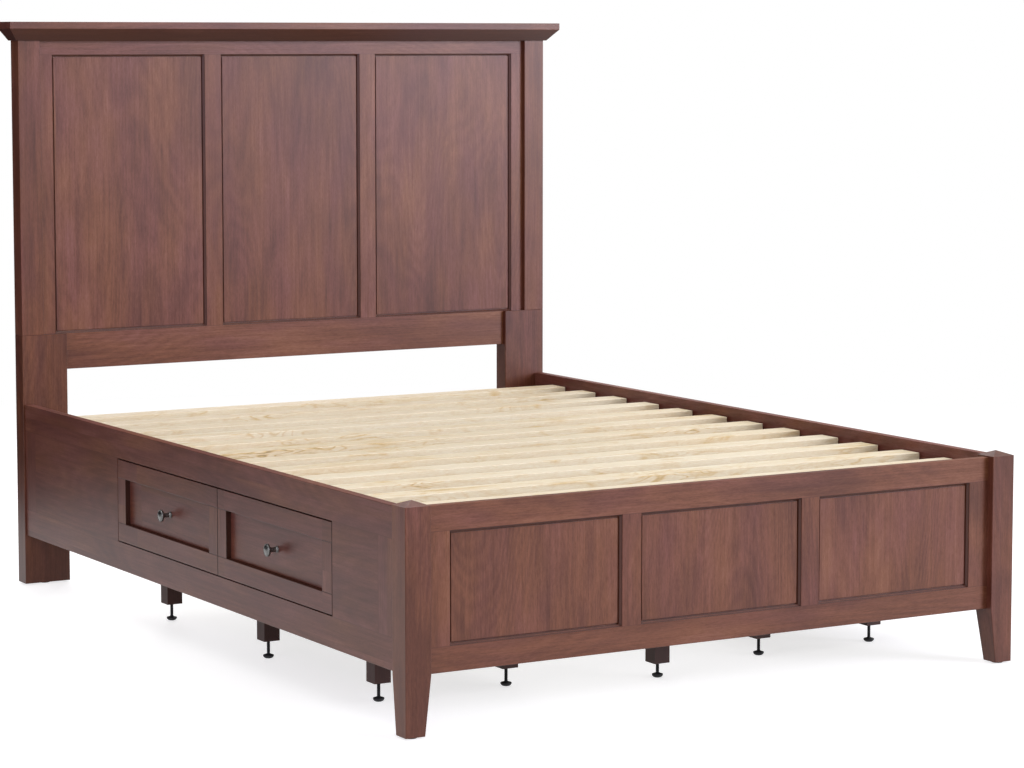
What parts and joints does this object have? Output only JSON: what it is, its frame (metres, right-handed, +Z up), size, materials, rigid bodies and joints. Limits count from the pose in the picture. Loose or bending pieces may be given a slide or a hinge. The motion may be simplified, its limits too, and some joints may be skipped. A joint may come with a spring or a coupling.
{
  "type": "platform storage bed",
  "caption": "Queen platform bed with a tall panelled headboard, low panelled footboard, slatted deck and inset drawers in both side rails.",
  "frame": {"origin": "on the floor at the middle of the bed's outer box", "axes": "+X to the right seen from the foot, +Y towards the headboard, +Z up"},
  "size_m": [1.671, 2.174, 1.492],
  "materials": {
    "cherry_frame": "satin stained hardwood, straight grain along each member",
    "cherry_panel": "satin stained veneer, upright grain",
    "dark_hardwood": "dark stained hardwood",
    "pine_slat": "planed softwood with knots, unstained",
    "drawer_birch": "clear lacquered plywood",
    "pewter": "antique pewter, worn on the edges",
    "black_steel": "black coated steel",
    "zinc_steel": "zinc plated steel",
    "black_plastic": "moulded nylon"
  },
  "bodies": {
    "bed_frame": {"centre_beam": "dark_hardwood", "corner_brackets": "zinc_steel", "corner_glides": "black_plastic", "drawer_case_backs": "dark_hardwood", "drawer_case_base_rails": "dark_hardwood", "drawer_case_partitions": "dark_hardwood", "drawer_slide_channels": "zinc_steel", "footboard_bottom_rail": "cherry_frame", "footboard_panel_mouldings": "cherry_frame", "footboard_panels": "cherry_panel", "footboard_posts": "cherry_frame", "footboard_stiles": "cherry_frame", "footboard_top_rail": "cherry_frame", "head_cross_rail": "dark_hardwood", "headboard_crown": "cherry_frame", "headboard_legs": "cherry_frame", "headboard_lower_rail": "cherry_frame", "headboard_panel_mouldings": "cherry_frame", "headboard_panels": "cherry_panel", "headboard_posts": "cherry_frame", "headboard_stiles": "cherry_frame", "headboard_top_rail": "cherry_frame", "leveler_inserts": "zinc_steel", "mattress_slats": "pine_slat", "side_rail_bottom_boards": "cherry_frame", "side_rail_end_panels": "cherry_frame", "side_rail_stiles": "cherry_frame", "side_rail_top_boards": "cherry_frame", "slat_ledgers": "dark_hardwood", "support_legs": "dark_hardwood"},
    "drawer_left_head": {"drawer_front_left_head": "cherry_frame", "drawer_box_left_head": "drawer_birch", "drawer_knob_left_head": "pewter", "drawer_runners_left_head": "zinc_steel"},
    "drawer_left_foot": {"drawer_front_left_foot": "cherry_frame", "drawer_box_left_foot": "drawer_birch", "drawer_knob_left_foot": "pewter", "drawer_runners_left_foot": "zinc_steel"},
    "drawer_right_head": {"drawer_front_right_head": "cherry_frame", "drawer_box_right_head": "drawer_birch", "drawer_knob_right_head": "pewter", "drawer_runners_right_head": "zinc_steel"},
    "drawer_right_foot": {"drawer_front_right_foot": "cherry_frame", "drawer_box_right_foot": "drawer_birch", "drawer_knob_right_foot": "pewter", "drawer_runners_right_foot": "zinc_steel"},
    "leveler_left_outer_head": {"leveler_left_outer_head": "black_steel"},
    "leveler_left_outer_middle": {"leveler_left_outer_middle": "black_steel"},
    "leveler_left_outer_foot": {"leveler_left_outer_foot": "black_steel"},
    "leveler_left_inner_head": {"leveler_left_inner_head": "black_steel"},
    "leveler_left_inner_middle": {"leveler_left_inner_middle": "black_steel"},
    "leveler_left_inner_foot": {"leveler_left_inner_foot": "black_steel"},
    "leveler_right_inner_head": {"leveler_right_inner_head": "black_steel"},
    "leveler_right_inner_middle": {"leveler_right_inner_middle": "black_steel"},
    "leveler_right_inner_foot": {"leveler_right_inner_foot": "black_steel"},
    "leveler_right_outer_head": {"leveler_right_outer_head": "black_steel"},
    "leveler_right_outer_middle": {"leveler_right_outer_middle": "black_steel"},
    "leveler_right_outer_foot": {"leveler_right_outer_foot": "black_steel"},
    "leveler_centre_head": {"leveler_centre_head": "black_steel"},
    "leveler_centre_foot": {"leveler_centre_foot": "black_steel"}
  },
  "joints": [
    {"name": "drawer_slide_left_head", "type": "slide", "parent": "bed_frame", "child": "drawer_left_head", "axis": [-1, 0, 0], "range_m": [0, 0.3]},
    {"name": "drawer_slide_left_foot", "type": "slide", "parent": "bed_frame", "child": "drawer_left_foot", "axis": [-1, 0, 0], "range_m": [0, 0.3]},
    {"name": "drawer_slide_right_head", "type": "slide", "parent": "bed_frame", "child": "drawer_right_head", "axis": [1, 0, 0], "range_m": [0, 0.3]},
    {"name": "drawer_slide_right_foot", "type": "slide", "parent": "bed_frame", "child": "drawer_right_foot", "axis": [1, 0, 0], "range_m": [0, 0.3]},
    {"name": "leveler_screw_left_outer_head", "type": "slide", "parent": "bed_frame", "child": "leveler_left_outer_head", "axis": [0, 0, 1], "range_m": [-0.02, 0.03]},
    {"name": "leveler_screw_left_outer_middle", "type": "slide", "parent": "bed_frame", "child": "leveler_left_outer_middle", "axis": [0, 0, 1], "range_m": [-0.02, 0.03]},
    {"name": "leveler_screw_left_outer_foot", "type": "slide", "parent": "bed_frame", "child": "leveler_left_outer_foot", "axis": [0, 0, 1], "range_m": [-0.02, 0.03]},
    {"name": "leveler_screw_left_inner_head", "type": "slide", "parent": "bed_frame", "child": "leveler_left_inner_head", "axis": [0, 0, 1], "range_m": [-0.02, 0.03]},
    {"name": "leveler_screw_left_inner_middle", "type": "slide", "parent": "bed_frame", "child": "leveler_left_inner_middle", "axis": [0, 0, 1], "range_m": [-0.02, 0.03]},
    {"name": "leveler_screw_left_inner_foot", "type": "slide", "parent": "bed_frame", "child": "leveler_left_inner_foot", "axis": [0, 0, 1], "range_m": [-0.02, 0.03]},
    {"name": "leveler_screw_right_inner_head", "type": "slide", "parent": "bed_frame", "child": "leveler_right_inner_head", "axis": [0, 0, 1], "range_m": [-0.02, 0.03]},
    {"name": "leveler_screw_right_inner_middle", "type": "slide", "parent": "bed_frame", "child": "leveler_right_inner_middle", "axis": [0, 0, 1], "range_m": [-0.02, 0.03]},
    {"name": "leveler_screw_right_inner_foot", "type": "slide", "parent": "bed_frame", "child": "leveler_right_inner_foot", "axis": [0, 0, 1], "range_m": [-0.02, 0.03]},
    {"name": "leveler_screw_right_outer_head", "type": "slide", "parent": "bed_frame", "child": "leveler_right_outer_head", "axis": [0, 0, 1], "range_m": [-0.02, 0.03]},
    {"name": "leveler_screw_right_outer_middle", "type": "slide", "parent": "bed_frame", "child": "leveler_right_outer_middle", "axis": [0, 0, 1], "range_m": [-0.02, 0.03]},
    {"name": "leveler_screw_right_outer_foot", "type": "slide", "parent": "bed_frame", "child": "leveler_right_outer_foot", "axis": [0, 0, 1], "range_m": [-0.02, 0.03]},
    {"name": "leveler_screw_centre_head", "type": "slide", "parent": "bed_frame", "child": "leveler_centre_head", "axis": [0, 0, 1], "range_m": [-0.02, 0.022]},
    {"name": "leveler_screw_centre_foot", "type": "slide", "parent": "bed_frame", "child": "leveler_centre_foot", "axis": [0, 0, 1], "range_m": [-0.02, 0.022]}
  ]
}
